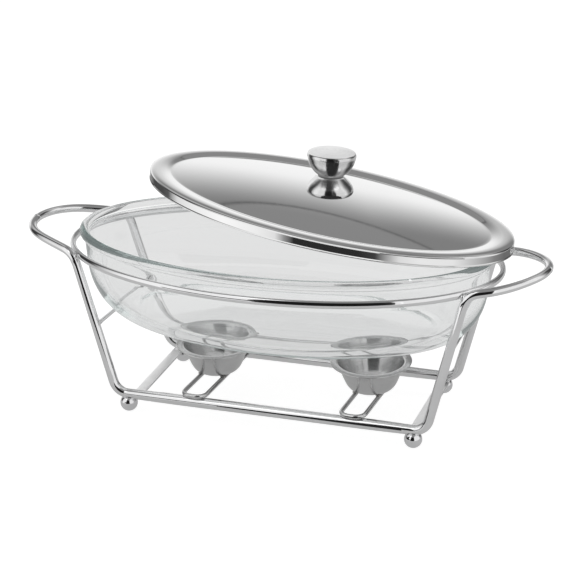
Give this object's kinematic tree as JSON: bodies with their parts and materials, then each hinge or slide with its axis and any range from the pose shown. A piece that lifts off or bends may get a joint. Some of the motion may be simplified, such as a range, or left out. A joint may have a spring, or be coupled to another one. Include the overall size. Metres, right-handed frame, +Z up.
{
  "type": "glass chafing dish",
  "caption": "Oval glass chafing dish cradled in a bent-wire stand with loop handles and ball feet, a loose domed oval lid with a waisted knob lying ajar, and slide-out burner cups below.",
  "frame": {"origin": "centre of the stand on the plane its ball feet stand on, midway between the two rails and the two handles", "axes": "+Z up, +X along the oval towards the right handle, -Y towards the front, where the burners pull out"},
  "size_m": [0.4295, 0.2552, 0.1966],
  "materials": {
    "chrome_wire": "bright plated rod",
    "chrome_ball": "bright plated ball",
    "strap_steel": "satin strip",
    "clear_glass": "clear pressed glass, faint green in the rim",
    "lid_steel": "mirror polished sheet",
    "knob_steel": "polished, brushed in circles on top",
    "fastener_steel": "plain zinc",
    "cup_steel": "satin spun sheet",
    "burner_wire": "plated wire"
  },
  "bodies": {
    "stand": {"front_frame_wire": "chrome_wire", "rear_frame_wire": "chrome_wire", "support_ring": "chrome_wire", "left_cross_rod": "chrome_wire", "right_cross_rod": "chrome_wire", "left_base_strap": "strap_steel", "right_base_strap": "strap_steel", "front_left_foot": "chrome_ball", "front_right_foot": "chrome_ball", "rear_left_foot": "chrome_ball", "rear_right_foot": "chrome_ball"},
    "dish": {"glass_dish": "clear_glass"},
    "lid": {"lid_shell": "lid_steel", "knob_base": "knob_steel", "knob_cap": "knob_steel", "knob_washer": "fastener_steel", "knob_screw": "fastener_steel"},
    "left_burner": {"left_burner_cup": "cup_steel", "left_burner_wire": "burner_wire"},
    "right_burner": {"right_burner_cup": "cup_steel", "right_burner_wire": "burner_wire"}
  },
  "joints": [
    {"name": "dish_lift", "type": "slide", "parent": "stand", "child": "dish", "axis": [0, 0, 1], "range_m": [0, 0.2]},
    {"name": "lid_lift", "type": "slide", "parent": "dish", "child": "lid", "axis": [0, 0, 1], "range_m": [0, 0.15]},
    {"name": "left_burner_slide", "type": "slide", "parent": "stand", "child": "left_burner", "axis": [0, -1, 0], "range_m": [0, 0.115]},
    {"name": "right_burner_slide", "type": "slide", "parent": "stand", "child": "right_burner", "axis": [0, -1, 0], "range_m": [0, 0.115]}
  ]
}
